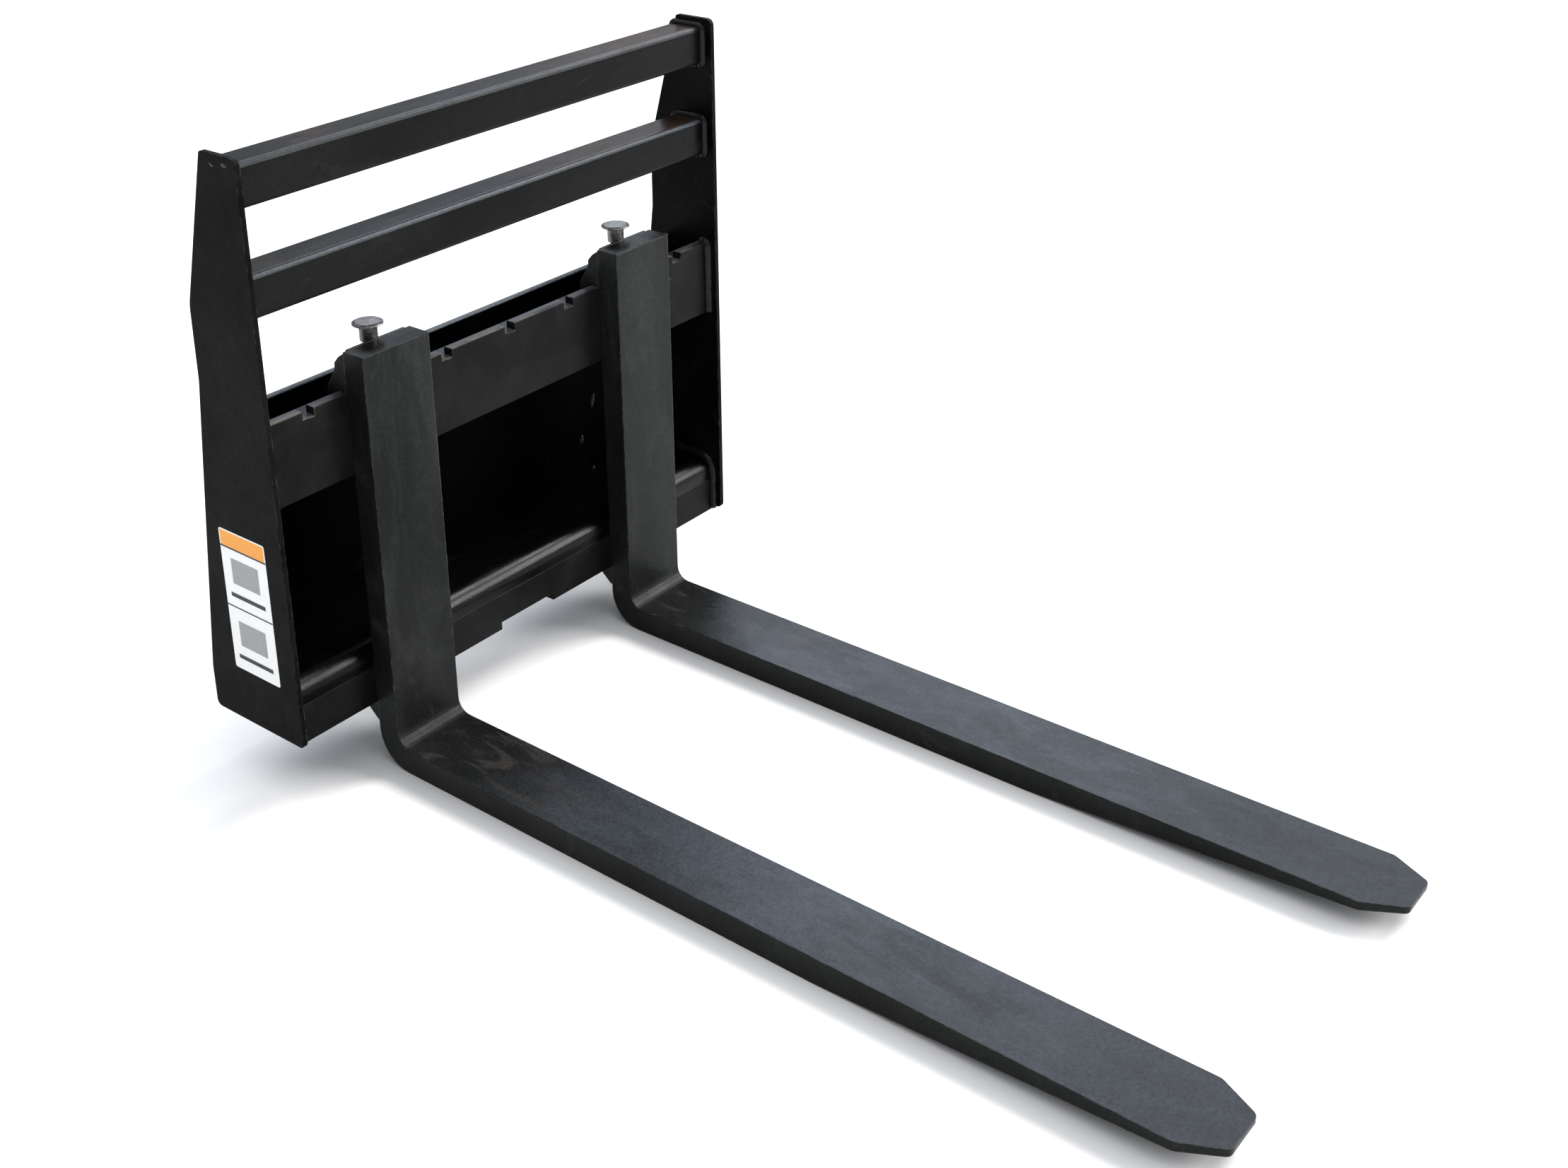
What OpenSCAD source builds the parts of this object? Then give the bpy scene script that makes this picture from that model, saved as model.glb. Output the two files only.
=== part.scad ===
// Pallet fork attachment for a small loader.
// The origin is the middle of the upper carriage bar's front face.
// +X is right when seen from the fork tips, +Y points to the loader, +Z is up.
// Heights in the Hidden section are counted from the carriage's bottom edge by up().

/* [Carriage] */
// Clear width between the side plates
inner_w = 760; // [730:5:1100]
// Height from the lower bar's bottom edge to the ridge top
carriage_h = 407; // [400:1:420]
// Height of the upper carriage bar
upper_bar_h = 102; // [90:1:115]
// Height of the lower carriage bar
lower_bar_h = 50; // [44:1:60]
// Depth of both carriage bars, front to back
bar_t = 42; // [38:1:48]
// Depth of the ridge that the hooks hang on
ridge_t = 14.5; // [12:0.5:15]
// Height of the ridge above the ledge behind it
ridge_h = 14; // [12:0.5:16]
// Distance between neighbouring fork positions
notch_pitch = 105.5; // [104:0.5:108]
// Width of a locking notch in the ridge
notch_w = 17; // [16:0.5:22]
// Depth of a locking notch
notch_h = 10; // [9.5:0.5:12]
// Width of the fork removal notch in the lower bar
removal_w = 96; // [94:1:110]
// Depth of the fork removal notch
removal_h = 11; // [10.5:0.5:12]

/* [Side plates and rails] */
// Thickness of the side plates and formed sheets
plate_t = 6.4; // [5:0.2:10]
// Height of the side plates' top edge above the carriage bottom
guard_h = 715.5; // [700:5:900]
// Side length of the square rail tube
tube_w = 50.8; // [45:0.2:60]
// Wall of the rail tube
tube_wall = 4.8; // [3:0.2:6]
// Outer corner radius of the rail tube
tube_r = 7; // [5:0.5:9]
// Height of the top rail's top face
top_rail_z = 704.5; // [690:1:712]
// Height of the middle rail's top face
middle_rail_z = 581; // [540:0.5:620]

/* [Forks] */
// Width of each fork
fork_w = 100; // [98:1:104]
// Thickness of shank and blade
fork_t = 33; // [30:1:38]
// Length of the blade from the front of the shank to the tip
blade_l = 1067; // [900:1:1200]
// Length of the tapered part of the blade
taper_l = 450; // [300:10:600]
// Thickness of the blade at its tip
tip_t = 8; // [6:0.5:12]
// Width of the blunt end of the tip
tip_w = 54; // [40:1:70]
// Length of the tip's side chamfers
tip_l = 46; // [30:1:70]
// Outer radius of the heel
heel_r = 45; // [40:1:60]
// Inner radius of the heel
heel_in_r = 18; // [12:1:24]

/* [Latch] */
// Diameter of the latch pin's shaft
pin_d = 14; // [12:0.5:15]
// Diameter of the latch pin's collar
collar_d = 21.5; // [20:0.5:22]
// Diameter of the latch pin's head
head_d = 37; // [30:1:40]
// Travel of the latch pin, from raised to locked
pin_travel = 10; // [8:0.5:10]

/* [Hidden] */
$fn = 64;
slack = 0.4;
hook_play = 1;
z_bottom = upper_bar_h / 2 - carriage_h;
function up(h) = z_bottom + h;
half_w = inner_w / 2;

// side plate outline: depths to the front and rear, heights above the carriage bottom
front_y = -15;
plate_low = 5.5;
rear_top_y = 44;
rear_lip_y = 95.5;
rear_foot_y = 144;
lip_high = 532;
lip_low = 442;
foot_high = 60;

// coupler sheet behind the carriage
sheet_top_y = 68;
sheet_top = 405;
sheet_foot_y = 118;
sheet_foot = 14;
lip_flat = 4.5;
lip_drop = 23;
shelf_z = 81.5;
shelf_r = 22;
flange_w = 18;
slot_r = 5.5;
slot_l = 60;
slot_pitch = 400;

// fork heights
shank_top = 458;
blade_top = -49;
fork_x = 2 * notch_pitch;
hook_top = 442.5;
hook_under = carriage_h + hook_play;
prong_in = ridge_t + 1.2;
prong_out = 32.5;
lower_hook_w = 90;

// latch
pin_y = 12.5;
pin_low = carriage_h + 1.5;
collar_low = hook_top + pin_travel + 1;
collar_high = 473;
head_t = 4.6;
bore_gap = 0.06;
bushing_d = 20;
roll_d = 4;
roll_z = 461;
label_t = 0.4;

// ---- outline helpers ----
function unit(v) = v / norm(v);

// points of an arc of radius r that rounds the corner b between a and c
function corner(a, b, c, r, n = 6) =
    let (
        u = unit(a - b),
        v = unit(c - b),
        half = acos(u * v) / 2,
        centre = b + unit(u + v) * r / sin(half),
        p = b + u * r / tan(half) - centre,
        q = b + v * r / tan(half) - centre,
        start = atan2(p[1], p[0]),
        turn = (atan2(q[1], q[0]) - start + 540) % 360 - 180
    )
    [for (i = [0:n]) centre + r * [cos(start + turn * i / n), sin(start + turn * i / n)]];

// outline through [y, z, radius] corners, each rounded by its own radius
function rounded(pts) =
    let (n = len(pts), xy = [for (p = pts) [p[0], p[1]]])
    [for (i = [0:n - 1])
        each pts[i][2] == 0
            ? [xy[i]]
            : corner(xy[(i + n - 1) % n], xy[i], xy[(i + 1) % n], pts[i][2])];

// the same outline with its heights counted from the carriage bottom
function lifted(pts) = [for (p = pts) [p[0], up(p[1]), p[2]]];

// draws a Y-Z outline and extrudes it along X from x over the width w
module along_x(x, w) {
    translate([x, 0, 0]) rotate([90, 0, 90]) linear_extrude(w) children();
}

// ---- fixed frame ----
module side_plate() {
    along_x(0, plate_t)
        polygon(rounded(lifted([
            [front_y, plate_low, 6],
            [rear_foot_y, plate_low, 8],
            [rear_foot_y, foot_high, 20],
            [rear_lip_y + 1, lip_low, 60],
            [rear_lip_y, lip_high, 60],
            [rear_top_y, guard_h, 4],
            [front_y, guard_h, 9]
        ])));
}

module side_plate_left() {
    color("#1c1d1e") translate([-half_w - plate_t, 0, 0]) side_plate();
}

module side_plate_right() {
    color("#1c1d1e") translate([half_w, 0, 0]) side_plate();
}

// square outline of side w with corners of radius r, its front on y = front
module tube_outline(front, top, w, r) {
    polygon(rounded(lifted([
        [front, top - w, r],
        [front + w, top - w, r],
        [front + w, top, r],
        [front, top, r]
    ])));
}

module rail(top) {
    color("#1a1b1c") along_x(-half_w, inner_w) difference() {
        tube_outline(0, top, tube_w, tube_r);
        tube_outline(tube_wall, top - tube_wall, tube_w - 2 * tube_wall, tube_r - tube_wall);
    }
}

module top_rail() {
    rail(top_rail_z);
}

module middle_rail() {
    rail(middle_rail_z);
}

module upper_carriage_bar() {
    notches = floor((half_w - fork_w / 2) / notch_pitch);
    ledge = carriage_h - ridge_h;
    color("#1e1f20") difference() {
        along_x(-half_w, inner_w)
            polygon(rounded(lifted([
                [0, carriage_h - upper_bar_h, 1.5],
                [bar_t, carriage_h - upper_bar_h, 1.5],
                [bar_t, ledge, 3],
                [ridge_t, ledge, 1.5],
                [ridge_t, carriage_h, 2],
                [0, carriage_h, 1.5]
            ])));
        for (i = [-notches:notches])
            translate([i * notch_pitch - notch_w / 2, -1, up(carriage_h - notch_h)])
                cube([notch_w, ridge_t + 2, notch_h + 1]);
    }
}

module lower_carriage_bar() {
    color("#1e1f20") difference() {
        along_x(-half_w, inner_w)
            polygon(rounded(lifted([
                [0, 0, 1.5],
                [ridge_t, 0, 1.5],
                [ridge_t, ridge_h, 1.5],
                [bar_t, ridge_h, 3],
                [bar_t, lower_bar_h, 1.5],
                [0, lower_bar_h, 1.5]
            ])));
        translate([-removal_w / 2, -1, up(-1)])
            cube([removal_w, ridge_t + 2, removal_h + 1]);
    }
}

// depth of the coupler sheet's front face at height h
function sheet_y(h) =
    sheet_top_y + (sheet_foot_y - sheet_top_y) * (sheet_top - h) / (sheet_top - sheet_foot);

module coupler_sheet() {
    color("#141516") along_x(-half_w, inner_w)
        polygon(rounded(lifted([
            [sheet_foot_y, sheet_foot, 0],
            [sheet_foot_y + plate_t, sheet_foot, 0],
            [sheet_top_y + plate_t, sheet_top, 0],
            [sheet_top_y, sheet_top, 1.5]
        ])));
}

// sloping awning that hooks over the top edge of the loader's plate
module coupler_lip() {
    y = sheet_top_y + plate_t;
    root_h = sheet_top - plate_t - 2;
    end_y = y + lip_flat + lip_drop - plate_t;
    color("#26282a") along_x(-half_w, inner_w)
        polygon(rounded(lifted([
            [y, sheet_top, 0],
            [y + lip_flat - plate_t / 2, sheet_top, 1.5],
            [end_y, sheet_top - lip_drop, 2],
            [end_y - plate_t * 0.7, sheet_top - lip_drop - plate_t * 0.7, 1],
            [sheet_y(root_h) + plate_t, root_h, 0]
        ])));
}

// ledge at the foot of the coupler with the two wedge slots
module coupler_foot_flange() {
    slot_y = sheet_foot_y + plate_t + flange_w / 2;
    color("#1c1d1e") difference() {
        translate([-half_w, sheet_foot_y, up(sheet_foot - plate_t)])
            cube([inner_w, plate_t + flange_w, plate_t]);
        for (side = [-1, 1]) wedge_slot(side * slot_pitch / 2, slot_y);
    }
}

module wedge_slot(x, y) {
    reach = slot_l / 2 - slot_r;
    translate([x, y, up(sheet_foot - plate_t - 1)]) {
        for (end = [-1, 1])
            translate([end * reach, 0, 0]) cylinder(r = slot_r, h = plate_t + 2);
        translate([-reach, -slot_r, 0]) cube([2 * reach, 2 * slot_r, plate_t + 2]);
    }
}

// bent sheet that closes the bottom: a level shelf that rolls down onto the lower bar
module front_apron() {
    inner_r = shelf_r - plate_t;
    color("#232527") along_x(-half_w, inner_w)
        polygon([
            each [[0, up(lower_bar_h)]],
            each [for (a = [180:-6:90]) [shelf_r + shelf_r * cos(a),
                up(shelf_z - shelf_r) + shelf_r * sin(a)]],
            [sheet_y(shelf_z), up(shelf_z)],
            [sheet_y(shelf_z - plate_t), up(shelf_z - plate_t)],
            each [for (a = [90:6:180]) [shelf_r + inner_r * cos(a),
                up(shelf_z - shelf_r) + inner_r * sin(a)]],
            [plate_t, up(lower_bar_h)]
        ]);
}

gusset_t = 10;
gusset_x = [-1.5, -0.5, 0.5, 1.5];

// ribs between the upper bar and the coupler sheet
module bar_gussets() {
    low = carriage_h - upper_bar_h;
    high = carriage_h - ridge_h - 8;
    color("#18191a") for (i = gusset_x)
        along_x(i * notch_pitch * 1.5 - gusset_t / 2, gusset_t)
            polygon([
                [bar_t, up(low)],
                [sheet_y(low), up(low)],
                [sheet_y(high), up(high)],
                [bar_t, up(high)]
            ]);
}

// ribs under the shelf, between the lower bar and the coupler sheet
module apron_gussets() {
    low = sheet_foot + 2;
    high = shelf_z - plate_t;
    color("#18191a") for (i = gusset_x)
        along_x(i * notch_pitch * 1.5 - gusset_t / 2, gusset_t)
            polygon([
                [bar_t, up(ridge_h + 4)],
                [sheet_y(low), up(low)],
                [sheet_y(high), up(high)],
                [shelf_r, up(high)],
                [shelf_r, up(lower_bar_h)],
                [bar_t, up(lower_bar_h)]
            ]);
}

// plain label panel on the left plate's outer face
module side_label() {
    label_y = 15;
    label_low = 77;
    color("white") translate([-half_w - plate_t - label_t, 0, 0])
        along_x(0, label_t)
            polygon(rounded(lifted([
                [label_y, label_low, 3],
                [label_y + 81, label_low, 3],
                [label_y + 81, label_low + 184, 3],
                [label_y, label_low + 184, 3]
            ])));
}

// ---- forks ----
// side outline of shank, heel and blade
module fork_outline() {
    front = -slack - fork_t;
    under = blade_top - fork_t;
    tip_y = front - blade_l;
    polygon(rounded(lifted([
        [-slack, shank_top, 1],
        [front, shank_top, 1],
        [front, blade_top, heel_in_r],
        [tip_y, blade_top, 0],
        [tip_y, blade_top - tip_t, 2],
        [tip_y + taper_l, under, 30],
        [-slack, under, heel_r]
    ])));
}

// top outline of the fork, with its chamfered tip
module fork_plan() {
    tip_y = -slack - fork_t - blade_l;
    half = fork_w / 2;
    polygon(rounded([
        [-half, 0, 0],
        [-half, tip_y + tip_l, 14],
        [-tip_w / 2, tip_y, 9],
        [tip_w / 2, tip_y, 9],
        [half, tip_y + tip_l, 14],
        [half, 0, 0]
    ]));
}

module fork_body() {
    color("#202224") intersection() {
        along_x(-fork_w / 2, fork_w) fork_outline();
        translate([0, 0, up(blade_top - fork_t - 1)])
            linear_extrude(shank_top - blade_top + fork_t + 2) fork_plan();
    }
}

// hook that hangs the fork on the ridge, bored for the latch
module upper_hook() {
    color("#1b1c1d") difference() {
        along_x(-fork_w / 2, fork_w)
            polygon(rounded(lifted([
                [-slack, hook_under, 0],
                [prong_in, hook_under, 1],
                [prong_in, hook_under - ridge_h + 3, 1],
                [prong_out, hook_under - ridge_h + 3, 2],
                [prong_out, hook_under, 3],
                [21, 426, 3],
                [16.5, 434, 1],
                [16.5, 441, 4],
                [8.5, 450, 6],
                [-slack, 456, 0]
            ])));
        translate([0, pin_y, up(hook_under - ridge_h)]) cylinder(d = pin_d + 2, h = ridge_h + 4);
        translate([0, pin_y, up(hook_under + 2)]) cylinder(d = bushing_d, h = hook_top - hook_under);
        translate([0, pin_y, up(hook_top)]) cylinder(d = collar_d + 1.4, h = ridge_h * 2);
    }
}

// hook that keeps the fork's foot on the lower bar
module lower_hook() {
    under = -hook_play - 0.5;
    color("#1b1c1d") along_x(-lower_hook_w / 2, lower_hook_w)
        polygon(rounded(lifted([
            [-slack, under, 0],
            [prong_in, under, 1],
            [prong_in, removal_h - 1, 1],
            [prong_in + 12, removal_h - 1, 2],
            [prong_in + 12, -12, 3],
            [7, -30, 4],
            [-slack, -31, 0]
        ])));
}

module latch_bushing() {
    low = hook_under + 2;
    color("#8d8f90") translate([0, pin_y, up(low)]) difference() {
        cylinder(d = bushing_d, h = hook_top - low);
        translate([0, 0, -1]) cylinder(d = pin_d + 2 * bore_gap, h = hook_top - low + 2);
    }
}

// shaft with a collar and a mushroom head, turned in one piece
module latch_pin() {
    r = pin_d / 2;
    color("#a9abac") translate([0, pin_y, z_bottom]) difference() {
        rotate_extrude() polygon([
            [0, pin_low],
            [r - 1.5, pin_low],
            [r, pin_low + 1.5],
            [r, collar_low],
            [collar_d / 2 - 1, collar_low],
            [collar_d / 2, collar_low + 1],
            [collar_d / 2, collar_high],
            [head_d / 2 - 2, collar_high],
            [head_d / 2, collar_high + 1.2],
            [head_d / 2 - 0.4, collar_high + 2.6],
            [head_d / 2 - 4, collar_high + head_t - 0.6],
            [0, collar_high + head_t]
        ]);
        translate([0, 0, roll_z]) rotate([90, 0, 35]) cylinder(d = roll_d, h = 40, center = true);
    }
}

module latch_roll_pin() {
    color("#6d6e6f") translate([0, pin_y, up(roll_z)]) rotate([90, 0, 35]) difference() {
        cylinder(d = roll_d, h = collar_d - 3, center = true);
        cylinder(d = roll_d - 2, h = collar_d, center = true);
    }
}

module on_fork(side) {
    translate([side * fork_x, 0, 0]) children();
}

module fork_left() on_fork(-1) fork_body();
module upper_hook_left() on_fork(-1) upper_hook();
module lower_hook_left() on_fork(-1) lower_hook();
module latch_bushing_left() on_fork(-1) latch_bushing();
module latch_pin_left() on_fork(-1) latch_pin();
module latch_roll_pin_left() on_fork(-1) latch_roll_pin();
module fork_right() on_fork(1) fork_body();
module upper_hook_right() on_fork(1) upper_hook();
module lower_hook_right() on_fork(1) lower_hook();
module latch_bushing_right() on_fork(1) latch_bushing();
module latch_pin_right() on_fork(1) latch_pin();
module latch_roll_pin_right() on_fork(1) latch_roll_pin();

side_plate_left();
side_plate_right();
top_rail();
middle_rail();
upper_carriage_bar();
lower_carriage_bar();
coupler_sheet();
coupler_lip();
coupler_foot_flange();
front_apron();
bar_gussets();
apron_gussets();
side_label();
fork_left();
upper_hook_left();
lower_hook_left();
latch_bushing_left();
latch_pin_left();
latch_roll_pin_left();
fork_right();
upper_hook_right();
lower_hook_right();
latch_bushing_right();
latch_pin_right();
latch_roll_pin_right();
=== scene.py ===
import math
import random

import bmesh
import bpy
from mathutils import Matrix, Vector, noise


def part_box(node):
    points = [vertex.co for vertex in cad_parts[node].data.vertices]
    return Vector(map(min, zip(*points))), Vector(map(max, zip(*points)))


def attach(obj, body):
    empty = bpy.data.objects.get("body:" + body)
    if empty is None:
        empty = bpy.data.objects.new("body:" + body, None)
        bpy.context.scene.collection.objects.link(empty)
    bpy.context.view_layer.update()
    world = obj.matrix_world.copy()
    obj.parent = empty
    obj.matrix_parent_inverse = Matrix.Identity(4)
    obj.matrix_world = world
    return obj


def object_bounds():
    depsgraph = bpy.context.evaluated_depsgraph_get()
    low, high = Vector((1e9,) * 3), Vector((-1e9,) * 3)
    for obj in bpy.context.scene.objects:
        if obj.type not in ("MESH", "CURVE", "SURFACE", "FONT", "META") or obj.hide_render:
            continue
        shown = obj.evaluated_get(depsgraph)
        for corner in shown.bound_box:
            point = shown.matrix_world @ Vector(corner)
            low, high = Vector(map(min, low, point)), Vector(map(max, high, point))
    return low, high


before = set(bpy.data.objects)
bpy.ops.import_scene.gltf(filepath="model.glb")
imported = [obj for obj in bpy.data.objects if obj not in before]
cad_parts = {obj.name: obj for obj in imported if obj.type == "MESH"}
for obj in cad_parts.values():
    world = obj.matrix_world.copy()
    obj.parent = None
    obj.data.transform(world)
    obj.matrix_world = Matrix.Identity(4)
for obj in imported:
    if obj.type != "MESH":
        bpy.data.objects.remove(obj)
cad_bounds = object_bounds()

# Lengths are in metres, in the row frame: +X right seen from the fork tips, +Y to the loader, +Z up.
MM = 0.001
scene = bpy.context.scene
scene.view_settings.view_transform = "Standard"
scene.view_settings.look = "None"

plate_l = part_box("side_plate_left")
plate_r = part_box("side_plate_right")
upper_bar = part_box("upper_carriage_bar")
lower_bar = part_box("lower_carriage_bar")
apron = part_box("front_apron")
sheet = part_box("coupler_sheet")
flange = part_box("coupler_foot_flange")
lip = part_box("coupler_lip")
rails = {"top_rail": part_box("top_rail"), "middle_rail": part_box("middle_rail")}
label_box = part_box("side_label")
SIDES = {"left": -1, "right": 1}
half_w = plate_r[0].x
fork_thickness = 33 * MM
ridge_height = 14 * MM
blade_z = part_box("fork_left")[0].z + fork_thickness
shank_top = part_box("fork_left")[1].z


# ---- camera ----
def look(azimuth, elevation, roll):
    az, el, ro = (math.radians(v) for v in (azimuth, elevation, roll))
    forward = Vector((-math.sin(az) * math.cos(el), math.cos(az) * math.cos(el), -math.sin(el)))
    right = Vector((math.cos(az), math.sin(az), 0))
    up = right.cross(forward)
    turned = right * math.cos(ro) + up * math.sin(ro)
    return Matrix((turned, turned.cross(forward), -forward)).transposed()


camera_data = bpy.data.cameras.new("camera")
camera_data.sensor_width = 36
camera_data.lens = 44.44
camera_data.shift_x = 0.0466
camera_data.shift_y = -0.1516
camera_data.clip_end = 200
camera = bpy.data.objects.new("camera", camera_data)
camera.matrix_world = Matrix.Translation((-1.538, -1.6002, 0.9218)) @ look(-50.22, 22.31, -1.29).to_4x4()
scene.collection.objects.link(camera)
scene.camera = camera


# ---- node helpers ----
class Graph:
    """A material's node tree, with short calls for the nodes used here."""

    def __init__(self, name):
        self.material = bpy.data.materials.new(name)
        self.material.use_nodes = True
        self.tree = self.material.node_tree
        self.shader = self.tree.nodes["Principled BSDF"]
        self.coord = self.add("ShaderNodeTexCoord").outputs["Object"]

    def add(self, kind, **values):
        n = self.tree.nodes.new(kind)
        for k, v in values.items():
            setattr(n, k, v)
        return n

    def put(self, socket, value):
        if isinstance(value, bpy.types.NodeSocket):
            self.tree.links.new(value, socket)
        else:
            socket.default_value = value

    def math(self, op, a, b=0.0, clamp=False):
        n = self.add("ShaderNodeMath", operation=op, use_clamp=clamp)
        self.put(n.inputs[0], a)
        self.put(n.inputs[1], b)
        return n.outputs[0]

    def stretch(self, scale):
        n = self.add("ShaderNodeVectorMath", operation="MULTIPLY")
        self.put(n.inputs[0], self.coord)
        n.inputs[1].default_value = scale
        return n.outputs[0]

    def noise(self, scale, detail=4.0, rough=0.55, at=None, distort=0.0):
        n = self.add("ShaderNodeTexNoise")
        self.put(n.inputs["Vector"], at or self.coord)
        n.inputs["Scale"].default_value = scale
        n.inputs["Detail"].default_value = detail
        n.inputs["Roughness"].default_value = rough
        n.inputs["Distortion"].default_value = distort
        return n.outputs["Fac"]

    def step(self, value, low, high, top=1.0, bottom=0.0):
        n = self.add("ShaderNodeMapRange", interpolation_type="SMOOTHSTEP")
        for i, v in enumerate((value, low, high, bottom, top)):
            self.put(n.inputs[i], v)
        return n.outputs[0]

    def mix(self, factor, a, b):
        n = self.add("ShaderNodeMix", data_type="RGBA")
        self.put(n.inputs[0], factor)
        self.put(n.inputs[6], a if isinstance(a, bpy.types.NodeSocket) else (*a, 1))
        self.put(n.inputs[7], b if isinstance(b, bpy.types.NodeSocket) else (*b, 1))
        return n.outputs[2]

    def bump(self, height, distance, strength=1.0, normal=None):
        n = self.add("ShaderNodeBump")
        n.inputs["Strength"].default_value = strength
        n.inputs["Distance"].default_value = distance
        self.put(n.inputs["Height"], height)
        if normal is not None:
            self.put(n.inputs["Normal"], normal)
        return n.outputs[0]

    def axis(self, vector, letter):
        n = self.add("ShaderNodeSeparateXYZ")
        self.put(n.inputs[0], vector)
        return n.outputs[letter]

    def edges(self, radius):
        """(rounded normal, 0 on flat faces and up to 1 on convex and concave edges)"""
        bevel = self.add("ShaderNodeBevel", samples=4)
        bevel.inputs["Radius"].default_value = radius
        flat = self.add("ShaderNodeNewGeometry").outputs["Normal"]
        dot = self.add("ShaderNodeVectorMath", operation="DOT_PRODUCT")
        self.put(dot.inputs[0], bevel.outputs[0])
        self.put(dot.inputs[1], flat)
        return bevel.outputs[0], self.step(dot.outputs["Value"], 0.995, 0.80)

    def upward(self):
        n = self.add("ShaderNodeNewGeometry").outputs["Normal"]
        return self.step(self.axis(n, "Z"), 0.7, 0.95)


def paint(name, dark, light, rough, ior, edge, edge_size, grain,
          brown=0.0, low_bump=0.35, streaks=(1, 1, 1), layers=()):
    """Black paint on hot-rolled steel: mottling, rubbed patches, fine orange peel, worn edges and dust.

    Each of layers gives (mask, colour) for marks that only some parts have: stains and wear, and some painted
    highlights, reflections and shade."""
    g = Graph(name)
    mottling = g.noise(7, 6, 0.62, g.stretch(streaks), 0.4)
    blotches = g.noise(31, 7, 0.65, g.stretch(streaks), 0.8)
    colour = g.mix(g.step(mottling, 0.36, 0.68), dark, light)
    rubbed = g.step(blotches, 0.56, 0.74)
    colour = g.mix(g.math("MULTIPLY", rubbed, 0.55), colour, tuple(1.9 * c + 0.002 for c in light))
    specks = g.step(g.noise(620, 2, 0.7), 0.66, 0.74)
    colour = g.mix(g.math("MULTIPLY", specks, grain), colour, (0.055, 0.056, 0.054))
    if brown:
        patches = g.step(g.noise(11, 5, 0.6), 0.50, 0.66)
        grit = g.step(g.noise(240, 3, 0.7), 0.40, 0.62)
        stain = g.math("MULTIPLY", g.math("MULTIPLY", patches, grit), g.upward())
        colour = g.mix(g.math("MULTIPLY", stain, brown), colour, (0.050, 0.024, 0.014))
    for layer in layers:
        mask, tint = layer(g)
        colour = g.mix(mask, colour, tint)
    fine = g.step(g.noise(260, 5, 0.75), 0.30, 0.70, 1.32, 0.70)
    grained = g.add("ShaderNodeVectorMath", operation="SCALE")
    g.put(grained.inputs[0], colour)
    g.put(grained.inputs["Scale"], fine)
    colour = grained.outputs[0]
    rounded, rim = g.edges(edge_size)
    worn = g.math("MULTIPLY", rim, g.step(g.noise(85, 5, 0.7), 0.44, 0.66))
    colour = g.mix(g.math("MULTIPLY", worn, edge), colour, (0.115, 0.112, 0.105))
    g.put(g.shader.inputs["Base Color"], colour)
    roughness = g.step(blotches, 0.30, 0.75, rough + 0.12, rough - 0.05)
    g.put(g.shader.inputs["Roughness"], g.math("ADD", roughness, g.math("MULTIPLY", worn, 0.12)))
    g.shader.inputs["IOR"].default_value = ior
    swell = g.bump(g.noise(26, 3, 0.5), 0.0016, low_bump, rounded)
    peel = g.bump(g.noise(480, 3, 0.6), 0.00035, 0.5, swell)
    g.put(g.shader.inputs["Normal"], peel)
    return g.material


def blade_dust_and_sky_reflection(g):
    """Blue-grey on the blade tops, partly dust and partly painted sky reflection: none near the heel, which
    is painted shade, less at the tip, smeared along Y.
    """
    y = g.axis(g.coord, "Y")
    # painted shade: no blue-grey near the heel
    start = g.step(y, -0.13, -0.30)
    end = g.step(y, -0.45, -1.05, 0.55, 1.0)
    smears = g.step(g.noise(16, 6, 0.6, g.stretch((1, 0.22, 1)), 0.7), 0.36, 0.62, 1.12, 0.62)
    mask = g.math("MULTIPLY", g.math("MULTIPLY", g.math("MULTIPLY", start, end), smears), g.upward())
    return mask, (0.0285, 0.0320, 0.0378)


def shank_top_rust(g):
    """Dull brown film on the sawn top of each shank."""
    height = g.axis(g.coord, "Z")
    top = g.step(height, shank_top - 1.2 * MM, shank_top - 0.4 * MM)
    patchy = g.step(g.noise(55, 5, 0.65), 0.30, 0.60, 0.95, 0.65)
    return g.math("MULTIPLY", top, patchy), (0.0014, 0.0011, 0.0009)


def shank_smudges(g):
    """Long upright smudges of grey dust on the shanks."""
    height = g.axis(g.coord, "Z")
    smudge = g.step(g.noise(13, 6, 0.62, g.stretch((1.2, 1.2, 0.28)), 1.1), 0.46, 0.66)
    upright = g.step(height, blade_z + 30 * MM, blade_z + 120 * MM)
    return g.math("MULTIPLY", g.math("MULTIPLY", smudge, upright), 0.5), (0.0215, 0.0232, 0.0215)


def heel_rub(g):
    """Brown and grey rubbed patches on top of the blades just past the heel."""
    y = g.axis(g.coord, "Y")
    near = g.math("MULTIPLY", g.step(y, -0.40, -0.22), g.step(y, -0.045, -0.075))
    patch = g.step(g.noise(19, 6, 0.66, g.stretch((1.4, 0.5, 1)), 0.9), 0.50, 0.64)
    return g.math("MULTIPLY", g.math("MULTIPLY", near, patch), g.upward()), (0.0260, 0.0240, 0.0225)


def rail_stain_and_brown_reflection(g):
    """Brown along the right half of the rails' tops, partly stain and partly painted brown reflection."""
    x = g.axis(g.coord, "X")
    right = g.step(x, -0.05, 0.22)
    patch = g.step(g.noise(24, 5, 0.62, g.stretch((0.4, 1, 1)), 0.5), 0.34, 0.60)
    mask = g.math("MULTIPLY", g.math("MULTIPLY", right, patch), g.upward())
    return g.math("MULTIPLY", mask, 0.8), (0.0300, 0.0185, 0.0130)


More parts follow.
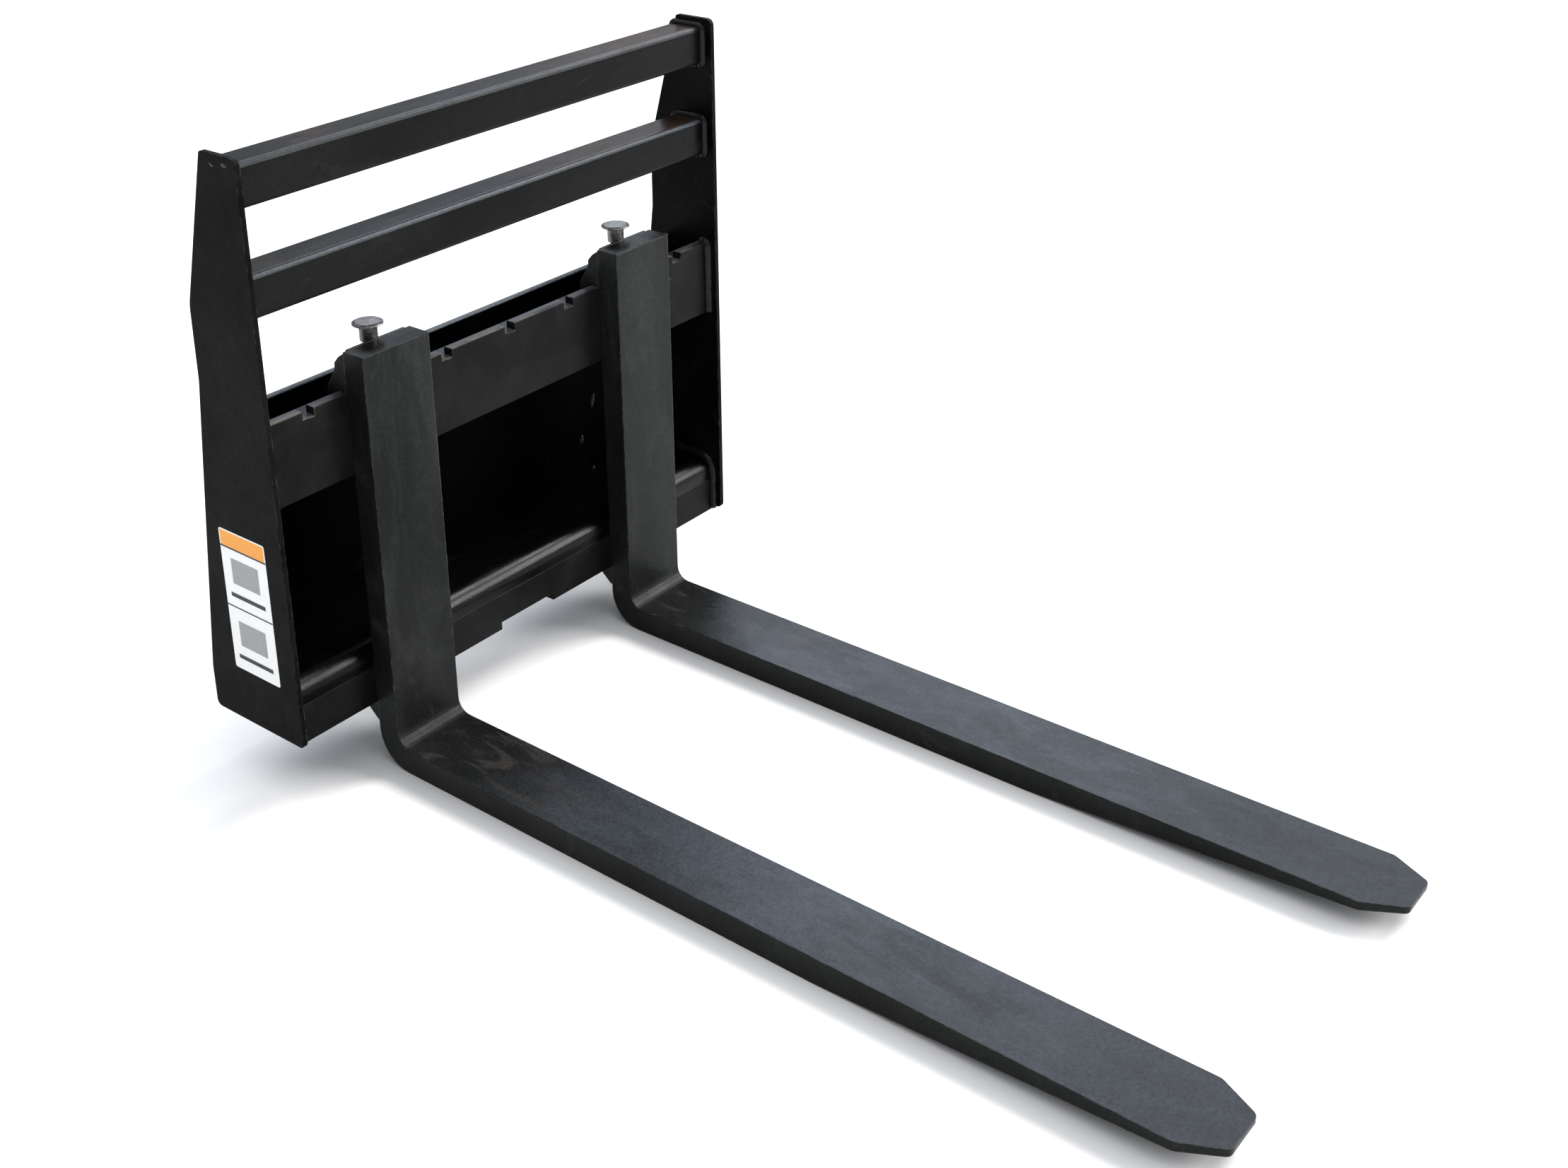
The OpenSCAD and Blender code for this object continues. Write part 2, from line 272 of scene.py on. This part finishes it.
def rail_corner_painted_highlight(g):
    """Painted blue-grey highlight along the rails' front top corners, stronger on the middle rail."""
    normal = g.add("ShaderNodeNewGeometry").outputs["Normal"]
    turn = g.math("MULTIPLY", g.axis(normal, "Z"), g.math("MULTIPLY", g.axis(normal, "Y"), -2.0))
    top_rail_z = rails["top_rail"][0].z
    amount = g.step(g.axis(g.coord, "Z"), top_rail_z, top_rail_z - 5 * MM, 0.75, 0.2)
    broken = g.step(g.noise(60, 4, 0.6, g.stretch((0.25, 1, 1))), 0.25, 0.60, 1.0, 0.7)
    mask = g.math("MULTIPLY", g.math("MULTIPLY", g.step(turn, 0.62, 0.95), amount), broken)
    return mask, (0.072, 0.082, 0.096)


def top_edge_painted_highlight(g):
    """Painted blue-grey highlight along the coupler's top edge."""
    height = g.axis(g.coord, "Z")
    top = g.step(height, sheet[1].z - 2.6 * MM, sheet[1].z - 1.2 * MM)
    broken = g.step(g.noise(45, 5, 0.6, g.stretch((0.3, 1, 1))), 0.25, 0.55, 1.0, 0.75)
    return g.math("MULTIPLY", top, broken), (0.118, 0.128, 0.140)


frame_paint = paint("frame_paint", (0.0018, 0.0018, 0.0017), (0.0058, 0.0059, 0.0056), 0.36, 1.09,
                    0.75, 1.6 * MM, 0.35, brown=0.2)
# on the rails, brown=0.6 and the right-half brown layer make the tops brown, partly stain and partly painted
# brown reflection
rail_paint = paint("rail_paint", (0.0022, 0.0023, 0.0022), (0.0058, 0.0060, 0.0058), 0.20, 1.155,
                   0.35, 1.2 * MM, 0.5, brown=0.6, streaks=(0.35, 1, 1), layers=[rail_stain_and_brown_reflection, rail_corner_painted_highlight])
# painted shade: the apron's paint is made near black so its shelf sinks into the recess's shade
apron_paint_with_painted_shade = paint("apron_paint_with_painted_shade", (0.0005, 0.0007, 0.0005), (0.0013, 0.0016, 0.0014), 0.22, 1.23,
                    0.35, 1.2 * MM, 0.12, low_bump=0.18, streaks=(0.4, 1, 1))
lip_paint = paint("lip_paint", (0.0030, 0.0031, 0.0030), (0.0075, 0.0077, 0.0075), 0.30, 1.2,
                  0.3, 1.2 * MM, 0.4, streaks=(0.3, 1, 1), layers=[top_edge_painted_highlight])
# painted shade: near-black, barely reflective paint on the coupler sheet and gussets, for the shade deep in
# the recess
recess_painted_shade = paint("recess_painted_shade", (0.0003, 0.0004, 0.0003), (0.0007, 0.0009, 0.0007), 0.42, 1.05,
                     0.15, 1.2 * MM, 0.06, layers=[top_edge_painted_highlight])
fork_paint = paint("fork_paint", (0.0054, 0.0058, 0.0055), (0.0122, 0.0130, 0.0123), 0.30, 1.18,
                   0.85, 2.2 * MM, 0.5, brown=0.12, streaks=(1, 0.45, 0.45),
                   layers=[blade_dust_and_sky_reflection, heel_rub, shank_smudges, shank_top_rust])
hook_paint = paint("hook_paint", (0.0050, 0.0052, 0.0051), (0.0150, 0.0156, 0.0150), 0.42, 1.2,
                   0.9, 1.8 * MM, 0.6, low_bump=0.8)
weld_paint = paint("weld_paint", (0.0045, 0.0049, 0.0051), (0.0120, 0.0130, 0.0135), 0.22, 1.26,
                   0.3, 0.8 * MM, 0.3)


def carriage_paint():
    """The carriage bars' paint, rubbed to bright dusty steel where hooks and pins slide along the ridge, with
    a painted blue-grey highlight on the ridge top's rear strip.
    """
    g = Graph("carriage_paint")
    mottling = g.noise(9, 6, 0.62, None, 0.4)
    colour = g.mix(g.step(mottling, 0.36, 0.68), (0.0038, 0.0038, 0.0036), (0.0090, 0.0092, 0.0088))
    specks = g.step(g.noise(420, 4, 0.75), 0.56, 0.72)
    colour = g.mix(g.math("MULTIPLY", specks, 0.32), colour, (0.034, 0.033, 0.030))
    height = g.axis(g.coord, "Z")
    ridge_foot = upper_bar[1].z - ridge_height
    ridge = g.step(height, ridge_foot - 1.5 * MM, ridge_foot + 1 * MM)
    scuff = g.noise(38, 7, 0.7, g.stretch((0.45, 1, 1)), 0.6)
    on_top = g.math("MULTIPLY", ridge, g.upward())
    rounded, rim = g.edges(1.6 * MM)
    depth = g.axis(g.coord, "Y")
    # painted highlight: blue-grey strip on the rear part of the ridge top
    smooth = g.math("MULTIPLY", on_top, g.step(depth, 5.5 * MM, 7.5 * MM))
    colour = g.mix(g.math("MULTIPLY", smooth, 0.8), colour, (0.066, 0.071, 0.080))
    front = g.math("MULTIPLY", on_top, g.step(depth, 8 * MM, 5.5 * MM))
    rubbed = g.math("MULTIPLY", front, g.step(scuff, 0.34, 0.62))
    colour = g.mix(g.math("MULTIPLY", rubbed, 0.8), colour, (0.118, 0.104, 0.093))
    # one scrape between the right fork and the right plate: its middle, and half its width and height
    scrape_x, scrape_z = 291 * MM, 19 * MM
    scrape_w, scrape_h = 15 * MM, 11 * MM
    across = g.math("DIVIDE", g.math("SUBTRACT", g.axis(g.coord, "X"), scrape_x), scrape_w)
    above = g.math("DIVIDE", g.math("SUBTRACT", height, scrape_z), scrape_h)
    radius = g.math("ADD", g.math("MULTIPLY", across, across), g.math("MULTIPLY", above, above))
    scrape = g.step(g.noise(110, 5, 0.7, g.stretch((1, 1, 2.2)), 0.8), 0.52, 0.60)
    scrape = g.math("MULTIPLY", scrape, g.step(radius, 1.0, 0.3))
    colour = g.mix(g.math("MULTIPLY", scrape, 0.7), colour, (0.075, 0.078, 0.080))
    worn = g.math("MULTIPLY", rim, g.step(g.noise(70, 5, 0.7), 0.40, 0.62))
    edge = g.math("MULTIPLY", worn, g.math("ADD", g.math("MULTIPLY", ridge, 0.7), 0.3))
    colour = g.mix(edge, colour, (0.22, 0.205, 0.185))
    g.put(g.shader.inputs["Base Color"], colour)
    g.put(g.shader.inputs["Roughness"], g.step(g.math("ADD", rubbed, worn), 0.0, 1.0, 0.5, 0.38))
    g.shader.inputs["IOR"].default_value = 1.13
    swell = g.bump(g.noise(30, 3, 0.5), 0.0014, 0.35, rounded)
    g.put(g.shader.inputs["Normal"], g.bump(g.noise(520, 3, 0.6), 0.00035, 0.5, swell))
    return g.material


def zinc():
    """Zinc plating: turned rings, dull bloom and a little brown staining."""
    g = Graph("zinc_plating")
    bloom = g.noise(140, 6, 0.65, None, 0.5)
    colour = g.mix(g.step(bloom, 0.35, 0.68), (0.085, 0.082, 0.079), (0.215, 0.210, 0.204))
    stain = g.math("MULTIPLY", g.step(g.noise(75, 5, 0.7, g.stretch((1, 1, 0.3))), 0.50, 0.62), 0.6)
    colour = g.mix(stain, colour, (0.105, 0.060, 0.040))
    pits = g.step(g.noise(900, 2, 0.6), 0.66, 0.72)
    colour = g.mix(g.math("MULTIPLY", pits, 0.5), colour, (0.05, 0.045, 0.04))
    rounded, rim = g.edges(0.7 * MM)
    colour = g.mix(g.math("MULTIPLY", rim, 0.6), colour, (0.60, 0.60, 0.60))
    g.put(g.shader.inputs["Base Color"], colour)
    g.shader.inputs["Metallic"].default_value = 0.9
    g.put(g.shader.inputs["Roughness"], g.step(bloom, 0.3, 0.7, 0.46, 0.27))
    turned = g.bump(g.noise(60, 2, 0.5, g.stretch((1, 1, 26))), 0.00025, 0.6, rounded)
    g.put(g.shader.inputs["Normal"], g.bump(g.noise(700, 3, 0.6), 0.0002, 0.35, turned))
    return g.material


def bare_steel():
    """Dull turned steel with brown rust patches."""
    g = Graph("bushing_steel")
    scale = g.noise(220, 6, 0.65)
    colour = g.mix(g.step(scale, 0.35, 0.65), (0.10, 0.095, 0.09), (0.24, 0.235, 0.23))
    rust = g.step(g.noise(90, 4), 0.55, 0.7, 0.6)
    g.put(g.shader.inputs["Base Color"], g.mix(rust, colour, (0.12, 0.06, 0.035)))
    g.shader.inputs["Metallic"].default_value = 0.8
    g.put(g.shader.inputs["Roughness"], g.step(scale, 0.3, 0.7, 0.6, 0.38))
    g.put(g.shader.inputs["Normal"], g.bump(scale, 0.0003, 0.5, g.edges(0.6 * MM)[0]))
    return g.material


def print_film(name, colour, scratch=(0.45, 0.44, 0.42)):
    """Printed vinyl: slight unevenness, fine scratches and a film gloss."""
    g = Graph(name)
    dust = g.noise(160, 5, 0.7)
    hairline = g.step(g.noise(260, 2, 0.5, g.stretch((1, 6, 0.5))), 0.66, 0.72, 0.35)
    tone = g.mix(g.step(dust, 0.4, 0.75, 0.35), colour, tuple(0.86 * c for c in colour))
    g.put(g.shader.inputs["Base Color"], g.mix(hairline, tone, scratch))
    g.put(g.shader.inputs["Roughness"], g.step(dust, 0.3, 0.7, 0.42, 0.30))
    g.shader.inputs["IOR"].default_value = 1.35
    g.put(g.shader.inputs["Normal"], g.bump(g.noise(60, 3), 0.0002, 0.3))
    return g.material


carriage_material = carriage_paint()
zinc_material = zinc()
steel_material = bare_steel()
film_white = print_film("film_white", (0.84, 0.84, 0.83))
film_orange = print_film("film_orange", (0.83, 0.33, 0.035))
film_black = print_film("film_black", (0.012, 0.012, 0.013), (0.10, 0.10, 0.10))
film_grey = print_film("film_grey", (0.30, 0.30, 0.31))

for node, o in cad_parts.items():
    material = frame_paint
    if node.startswith("fork_"):
        material = fork_paint
    elif "hook" in node:
        material = hook_paint
    elif "carriage_bar" in node:
        material = carriage_material
    elif node in rails:
        material = rail_paint
    elif node.startswith("latch_pin") or node.startswith("latch_roll"):
        material = zinc_material
    elif node.startswith("latch_bushing"):
        material = steel_material
    elif node == "coupler_lip":
        material = lip_paint
    elif node == "front_apron":
        material = apron_paint_with_painted_shade
    elif node == "side_label":
        material = film_white
    # these recess parts get the near-black paint that stands in for shade
    elif node in ("coupler_sheet", "bar_gussets", "apron_gussets"):
        material = recess_painted_shade
    o.data.materials.clear()
    o.data.materials.append(material)


# ---- mesh helpers ----
def piece(name, verts, faces, material, body, slot, smooth=True):
    mesh = bpy.data.meshes.new(name)
    mesh.from_pydata([tuple(v) for v in verts], [], faces)
    mesh.materials.append(material)
    mesh.validate()
    b = bmesh.new()
    b.from_mesh(mesh)
    bmesh.ops.recalc_face_normals(b, faces=b.faces)
    b.to_mesh(mesh)
    b.free()
    for p in mesh.polygons:
        p.use_smooth = smooth
    o = bpy.data.objects.new(name, mesh)
    scene.collection.objects.link(o)
    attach(o, body)
    return o


def resample(path, step):
    out = []
    for a, b in zip(path, path[1:]):
        n = max(1, round((b - a).length / step))
        out += [a.lerp(b, i / n) for i in range(n)]
    return out + [path[-1]]


def rounded(points, radius, closed=False):
    """A (y, z) line with its corners rounded."""
    pts = [Vector(p) for p in points]
    out = []
    for i, p in enumerate(pts):
        if not closed and i in (0, len(pts) - 1):
            out.append(p)
            continue
        a = p + (pts[i - 1] - p).normalized() * radius
        c = p + (pts[(i + 1) % len(pts)] - p).normalized() * radius
        out += [a.lerp(p, t / 4).lerp(p.lerp(c, t / 4), t / 4) for t in range(5)]
    return out + [out[0]] if closed else out


def sweep(runs, section, seed, step=1.3 * MM, pitch=4.2 * MM):
    """Verts and faces of weld runs. section(point, tangent, ripple, scale) gives one ring of points."""
    rng = random.Random(seed)
    verts, faces = [], []
    for run in runs:
        pts = resample(run, step)
        length = sum((b - a).length for a, b in zip(pts, pts[1:]))
        phase, offset, s, base = rng.uniform(0, 1), rng.uniform(0, 50), 0.0, len(verts)
        for i, p in enumerate(pts):
            s += (p - pts[i - 1]).length if i else 0
            t = (pts[min(i + 1, len(pts) - 1)] - pts[max(i - 1, 0)]).normalized()
            end = min(s, length - s) / (4 * MM)
            cap = 1.0 if end > 1 else math.sqrt(max(0.06, 1 - (1 - end) ** 2))
            swell = cap * (1 + 0.10 * noise.noise(Vector((s * 70, offset, 0))))
            ring = section(p, t, s / pitch + phase, swell)
            verts += ring
        n = len(ring)
        for i in range(len(pts) - 1):
            for k in range(n):
                a, b = base + i * n + k, base + i * n + (k + 1) % n
                faces.append((a, b, b + n, a + n))
        faces.append(tuple(range(base, base + n)))
        faces.append(tuple(range(base + (len(pts) - 1) * n, base + len(pts) * n)))
    return verts, faces


def bead(name, runs, radius, body, seed, slot="frame_paint"):
    """Round weld beads along straight lines."""
    def section(p, t, turns, scale):
        side = t.orthogonal().normalized()
        other = t.cross(side)
        out = []
        for k in range(9):
            a = 2 * math.pi * k / 9
            ripple = (turns + 0.22 * math.cos(a)) % 1.0
            outward = side * math.cos(a) + other * math.sin(a)
            out.append(p + outward * radius * scale * (0.93 + 0.11 * ripple))
        return out
    runs = [[Vector(p) for p in run] for run in runs]
    return piece(name, *sweep(runs, section, seed), weld_paint, body, slot)


def fillet(name, x, s, runs, leg, seed):
    """Fillet welds on a side plate's inner face at x, along (y, z) lines.

    The welded-on part is on a line's right, and the open plate on its left."""
    away = Vector((-s, 0, 0))

    def section(p, t, turns, scale):
        out_of = Vector((0, -t.z, t.y))
        size = leg * scale
        ring = [p - (away + out_of) * 1.2 * MM]
        for k in range(7):
            u = k / 6
            ripple = (turns + 0.5 * u * (1 - u)) % 1.0
            bulge = size * (0.30 + 0.10 * ripple) * u * (1 - u) * 2
            on_plate = size * (1 - u) + bulge - 0.2 * MM
            on_part = size * u + bulge - 0.2 * MM
            ring.append(p + out_of * on_plate + away * on_part)
        return ring
    runs = [[Vector((x, y, z)) for y, z in run] for run in runs]
    return piece(name, *sweep(runs, section, seed), weld_paint, "frame", "frame_paint")


def dabs(name, spots, material, body, slot, seed):
    """Small lumps, such as spatter and plug welds.

    Each of spots is (centre, normal, length along, width across, height, along)."""
    rng = random.Random(seed)
    verts, faces = [], []
    for centre, normal, long, wide, high, along in spots:
        n, a = Vector(normal).normalized(), Vector(along).normalized()
        b = n.cross(a)
        base, rings, count = len(verts), 5, 14
        offset = rng.uniform(0, 90)
        for i in range(rings):
            lift = math.sin(math.pi / 2 * i / rings)
            reach = math.cos(math.pi / 2 * i / rings)
            for k in range(count):
                t = 2 * math.pi * k / count
                wob = 1 + 0.22 * noise.noise(Vector((math.cos(t) * 1.3, math.sin(t) * 1.3, offset)))
                verts.append(Vector(centre) + a * long / 2 * reach * wob * math.cos(t)
                             + b * wide / 2 * reach * wob * math.sin(t) + n * (high * lift - 0.1 * MM))
        verts.append(Vector(centre) + n * high)
        for i in range(rings - 1):
            for k in range(count):
                p, q = base + i * count + k, base + i * count + (k + 1) % count
                faces.append((p, q, q + count, p + count))
        tip, last = base + rings * count, base + (rings - 1) * count
        faces += [(last + k, last + (k + 1) % count, tip) for k in range(count)]
        faces.append(tuple(reversed(range(base, base + count))))
    return piece(name, verts, faces, material, body, slot)


# ---- weld beads on the fixed frame ----
for side, s in SIDES.items():
    x = s * half_w
    lo, hi = upper_bar
    ledge = hi.z - ridge_height
    fillet(f"weld_upper_bar_{side}", x, s, [
        rounded([(12 * MM, hi.z - 0.5 * MM), (0, hi.z - 0.5 * MM), (0, lo.z - 1 * MM)], 5 * MM)[::-1],
        [(hi.y, ledge - 4 * MM), (hi.y, lo.z + 2 * MM)],
    ], 8 * MM, 11 + s)
    lo, hi = lower_bar
    top = apron[1].z
    profile = [(0, lo.z + 1 * MM), (0, top), (apron[1].y - 3 * MM, top)]
    fillet(f"weld_apron_{side}", x, s, [
        rounded(profile, 22 * MM),
        [(hi.y, hi.z - 2 * MM), (hi.y, lo.z + 17 * MM)],
    ], 7.5 * MM, 31 + s)
    for n, (name, (lo, hi)) in enumerate(rails.items()):
        ring = [(lo.y, lo.z), (lo.y, hi.z), (hi.y, hi.z), (hi.y, lo.z)]
        fillet(f"weld_{name}_{side}", x, s, [rounded(ring, 7 * MM, closed=True)], 6 * MM, 41 + 3 * n + s)
    fillet(f"weld_coupler_{side}", x, s, [
        [(lip[0].y + 12 * MM, lip[0].z - 6 * MM), (sheet[1].y + 0.5 * MM, flange[1].z + 1 * MM)],
    ], 5 * MM, 51 + s)

# thin broken seam between the rolled apron and the lower bar, inside the gap that the forks slide in
seam = [(x * MM, 1.0 * MM, lower_bar[1].z) for x in (-352, -268, -150, -92, -60, 34, 52, 140, 285, 362)]
bead("seam_apron", [seam[n:n + 2] for n in range(0, len(seam), 2)], 1.1 * MM, "frame", 71)

# stray spatter on the sloping sheet, in mm: x, height above the carriage's bottom edge, length, width
SPATTER = ((239, 197, 24, 8), (221, 140, 17, 9), (249, 84, 9, 7), (-201, 36, 7, 5), (-190, 52, 5, 4))
sheet_top = lower_bar[0].z + 405 * MM
sheet_slope = 50 / 391
spatter = []
for x, h, long, wide in SPATTER:
    z = lower_bar[0].z + h * MM
    y = sheet[0].y + (sheet_top - z) * sheet_slope
    spatter.append(((x * MM, y, z), (0, -1, -0.12), long * MM, wide * MM, 2.6 * MM, (0.25, 0, 1)))
dabs("spatter_sheet", spatter, weld_paint, "frame", "frame_paint", 81)
outer = plate_l[0].x
dabs("plug_welds_left", [
    ((outer, 3 * MM, plate_l[1].z - 9 * MM), (-1, 0, 0), 11 * MM, 6 * MM, 1.0 * MM, (0, 1, 0.1)),
    ((outer, 24 * MM, plate_l[1].z - 12 * MM), (-1, 0, 0), 8 * MM, 5 * MM, 0.8 * MM, (0, 1, 0.2)),
], weld_paint, "frame", "frame_paint", 82)

# ---- welds that hold each fork's hooks ----
hook_bead = 3.2 * MM
for side, s in SIDES.items():
    lo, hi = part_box(f"upper_hook_{side}")
    across = [(x, lo.y + 1.2 * MM, hi.z - 0.4 * MM) for x in (lo.x + 5 * MM, hi.x - 5 * MM)]
    bead(f"weld_upper_hook_{side}", [across], hook_bead, f"fork_{side}", 61 + s, "fork_paint")
    lo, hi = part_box(f"lower_hook_{side}")
    runs = [[(x, lo.y + 0.2 * MM, lo.z + 2 * MM), (x, lo.y + 0.2 * MM, hi.z - 3 * MM)]
            for x in (lo.x + 0.3 * MM, hi.x - 0.3 * MM)]
    runs.append([(x, lo.y + 0.4 * MM, lo.z) for x in (lo.x + 6 * MM, hi.x - 6 * MM)])
    bead(f"weld_lower_hook_{side}", runs, hook_bead, f"fork_{side}", 61 + s, "fork_paint")


# ---- generic label print: plain band, rules and blocks, no lettering ----
def label_print():
    lo, hi = label_box
    size = hi - lo
    ink = 0.05 * MM
    x = lo.x - 0.12 * MM

    def block(name, y0, z0, y1, z1, material):
        # y runs to the rear, z up, both as fractions of the film
        corners = ((y0, z0), (y1, z0), (y1, z1), (y0, z1))
        pts = [(lo.y + size.y * y, lo.z + size.z * z) for y, z in corners]
        verts = [(x, y, z) for y, z in pts] + [(x + ink, y, z) for y, z in pts]
        faces = [(0, 1, 2, 3), (4, 5, 6, 7), (0, 1, 5, 4), (1, 2, 6, 5), (2, 3, 7, 6), (3, 0, 4, 7)]
        return piece(name, verts, faces, material, "frame", "label_film", smooth=False)

    block("label_band", 0.02, 0.885, 0.98, 0.99, film_orange)
    block("label_rule_top", 0.0, 0.872, 1.0, 0.884, film_black)
    block("label_rule_middle", 0.0, 0.452, 1.0, 0.462, film_black)
    for n, base in enumerate((0.06, 0.51)):
        block(f"label_panel_{n}", 0.20, base + 0.12, 0.80, base + 0.30, film_grey)
        block(f"label_bar_{n}", 0.12, base + 0.02, 0.88, base + 0.05, film_black)


label_print()

# ---- floor and lights ----
floor_graph = Graph("floor")
floor_tone = floor_graph.step(floor_graph.noise(1.4, 3), 0.3, 0.7)
floor_colour = floor_graph.mix(floor_tone, (0.80, 0.79, 0.78), (0.815, 0.805, 0.795))
floor_graph.put(floor_graph.shader.inputs["Base Color"], floor_colour)
floor_graph.shader.inputs["Roughness"].default_value = 0.8
floor_graph.shader.inputs["IOR"].default_value = 1.1
floor_mesh = bpy.data.meshes.new("floor")
floor_z = cad_bounds[0][2] - 0.5 * MM
reach = 14
floor_corners = [(x * reach, y * reach, floor_z) for x, y in ((-1, -1), (1, -1), (1, 1), (-1, 1))]
floor_mesh.from_pydata(floor_corners, [], [(0, 1, 2, 3)])
floor_mesh.materials.append(floor_graph.material)
floor = bpy.data.objects.new("floor", floor_mesh)
scene.collection.objects.link(floor)

world = bpy.data.worlds.new("world")
world.use_nodes = True
tree = world.node_tree
direction = tree.nodes.new("ShaderNodeTexCoord").outputs["Generated"]
facing = tree.nodes.new("ShaderNodeVectorMath")
facing.operation = "DOT_PRODUCT"
facing.inputs[1].default_value = (0.50, -0.80, 0.33)
tree.links.new(direction, facing.inputs[0])
gradient = tree.nodes.new("ShaderNodeMapRange")
gradient.interpolation_type = "SMOOTHSTEP"
for i, v in enumerate((-0.8, 0.7, 0.37, 0.68), 1):
    gradient.inputs[i].default_value = v
tree.links.new(facing.outputs["Value"], gradient.inputs[0])
tree.nodes["Background"].inputs["Color"].default_value = (0.93, 0.98, 1.06, 1)
tree.links.new(gradient.outputs[0], tree.nodes["Background"].inputs["Strength"])
scene.world = world


def disc_light(name, towards, spread, brightness, colour=(1, 1, 1)):
    """A round, very distant soft light, spread degrees across, seen in the direction towards."""
    data = bpy.data.lights.new(name, "SUN")
    data.angle = math.radians(spread)
    data.energy = brightness * math.pi * math.sin(data.angle / 2) ** 2
    data.color = colour
    o = bpy.data.objects.new(name, data)
    o.matrix_world = Vector(towards).to_track_quat("Z", "Y").to_matrix().to_4x4()
    scene.collection.objects.link(o)


disc_light("key", (0.61, -0.68, 0.39), 26, 16)
disc_light("side", (0.68, -0.22, 0.69), 24, 20)
disc_light("overhead", (0, 0, 1), 95, 0.85, (1.0, 0.99, 0.97))
disc_light("sky_right", (0.74, 0.22, 0.64), 32, 3.2, (0.84, 0.94, 1.08))
disc_light("sky_back", (0.61, 0.51, 0.60), 30, 4.0, (0.84, 0.94, 1.08))
